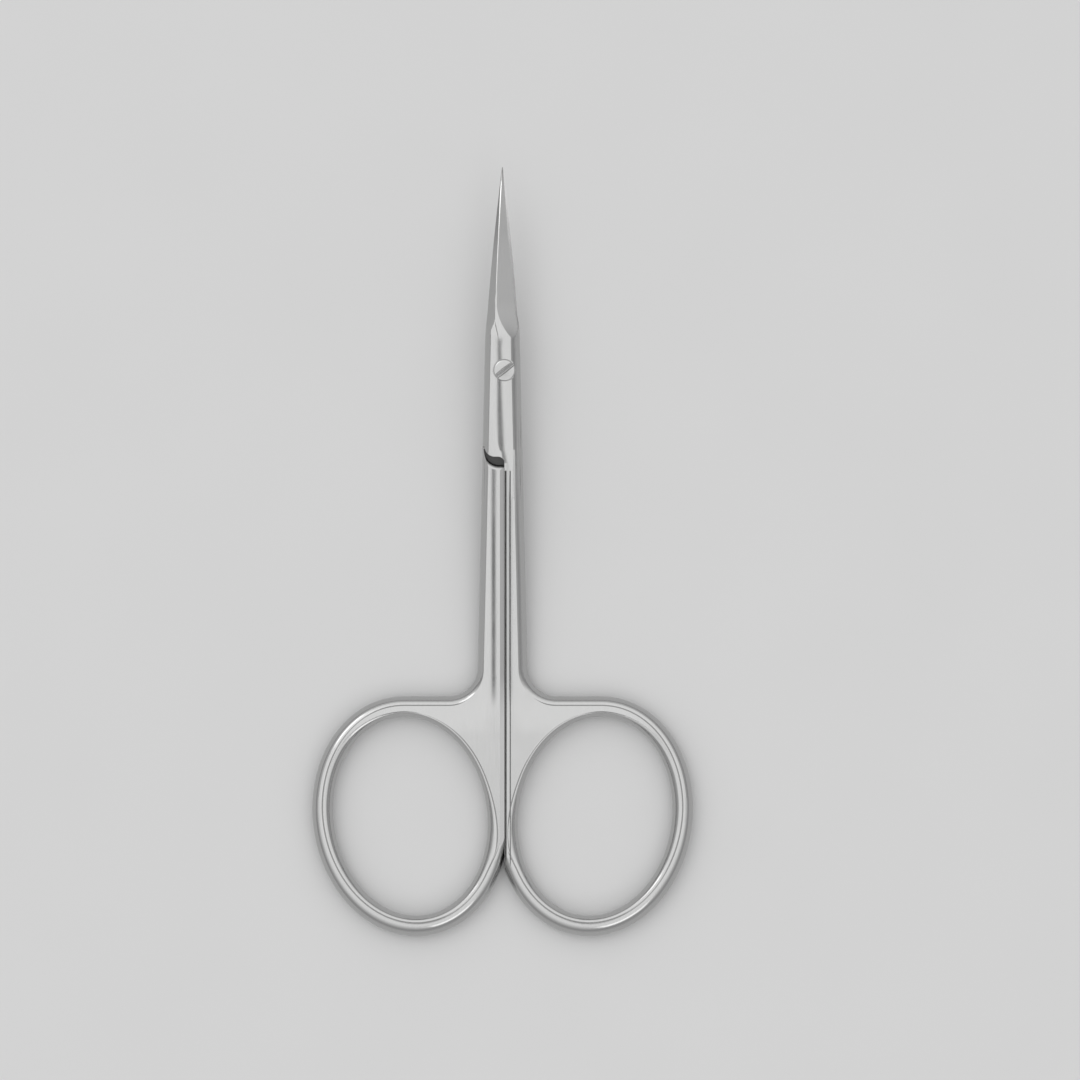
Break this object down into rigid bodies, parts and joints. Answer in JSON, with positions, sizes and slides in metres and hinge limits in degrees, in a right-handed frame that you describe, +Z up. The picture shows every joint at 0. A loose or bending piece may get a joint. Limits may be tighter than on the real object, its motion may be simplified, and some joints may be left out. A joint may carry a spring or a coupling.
{
  "type": "cuticle scissors",
  "caption": "Small scissors for nails and cuticles: satin steel halves crossing at a slotted screw, slim arms, oval finger rings and short fine blades whose tips curl toward the back.",
  "frame": {"origin": "middle of the length and width, on the surface that the backs of the finger rings lie on", "axes": "+Y along the closed scissors toward the tips, +Z up out of the screw head, +X toward the finger ring of the front half"},
  "size_m": [0.053, 0.1066, 0.008],
  "materials": {
    "steel": "satin polished stainless steel",
    "screw_steel": "turned and lightly polished stainless steel"
  },
  "bodies": {
    "rear_body": {"rear_half": "steel", "pivot_screw": "screw_steel"},
    "front_body": {"front_half": "steel"}
  },
  "joints": [
    {"name": "blades_pivot", "type": "hinge", "parent": "rear_body", "child": "front_body", "pos_m": [0.00027, 0.02539, 0.00545], "axis": [0, -0.0828, 0.9966], "range_deg": [0, 150]}
  ]
}
